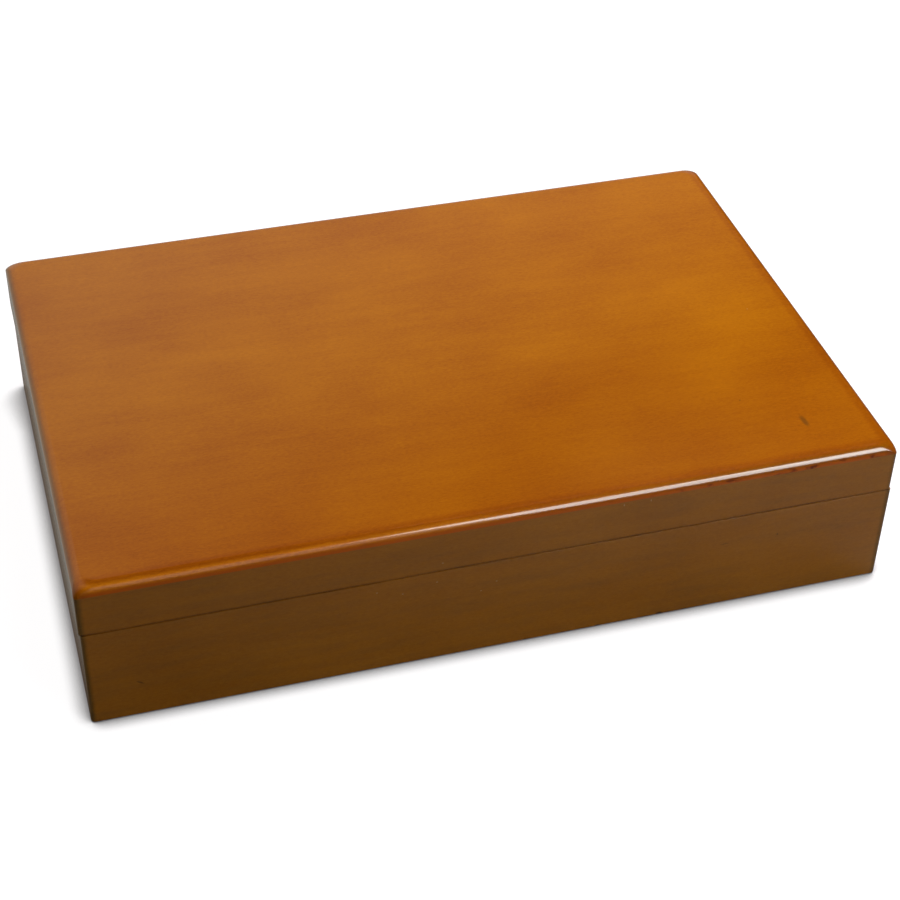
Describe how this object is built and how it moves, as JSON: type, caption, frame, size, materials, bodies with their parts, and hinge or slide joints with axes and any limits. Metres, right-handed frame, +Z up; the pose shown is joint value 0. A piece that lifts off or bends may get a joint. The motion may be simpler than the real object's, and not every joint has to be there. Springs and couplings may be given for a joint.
{
  "type": "hinged presentation case",
  "caption": "Flat rectangular wooden presentation case with a rounded-over hinged lid, velvet-lined base and padded satin lid lining, for keeping and showing collectibles.",
  "frame": {"origin": "middle of the case's footprint, on the surface it stands on", "axes": "+X along the case's length, to the right seen from the front; +Y to the back, where the hinges are; +Z up"},
  "size_m": [0.3056, 0.205, 0.0645],
  "materials": {
    "wood": "honey-stained, satin lacquer",
    "panel_wood": "honey-stained, polished lacquer",
    "raw_wood": "bare plywood",
    "felt": "pressed felt",
    "velvet": "short-pile velvet",
    "satin": "satin weave",
    "card": "grey board",
    "brass": "polished"
  },
  "bodies": {
    "base": {"base_front_board": "wood", "base_back_board": "wood", "base_left_board": "wood", "base_right_board": "wood", "bottom_panel": "raw_wood", "underside_felt": "felt", "base_front_liner": "velvet", "base_back_liner": "velvet", "base_left_liner": "velvet", "base_right_liner": "velvet", "floor_pad": "velvet", "floor_card": "card", "left_hinge_base_leaf": "brass", "left_hinge_pin": "brass", "left_base_leaf_outer_screw": "brass", "left_base_leaf_inner_screw": "brass", "right_hinge_base_leaf": "brass", "right_hinge_pin": "brass", "right_base_leaf_outer_screw": "brass", "right_base_leaf_inner_screw": "brass"},
    "lid": {"lid_front_board": "wood", "lid_back_board": "wood", "lid_left_board": "wood", "lid_right_board": "wood", "lid_panel": "panel_wood", "lid_front_liner": "velvet", "lid_back_liner": "velvet", "lid_left_liner": "velvet", "lid_right_liner": "velvet", "lid_pad": "satin", "lid_card": "card", "left_hinge_lid_leaf": "brass", "left_lid_leaf_outer_screw": "brass", "left_lid_leaf_inner_screw": "brass", "right_hinge_lid_leaf": "brass", "right_lid_leaf_outer_screw": "brass", "right_lid_leaf_inner_screw": "brass"}
  },
  "joints": [
    {"name": "lid_hinge", "type": "hinge", "parent": "base", "child": "lid", "pos_m": [0, 0.0995, 0.043], "axis": [-1, 0, 0], "range_deg": [0, 95]}
  ]
}
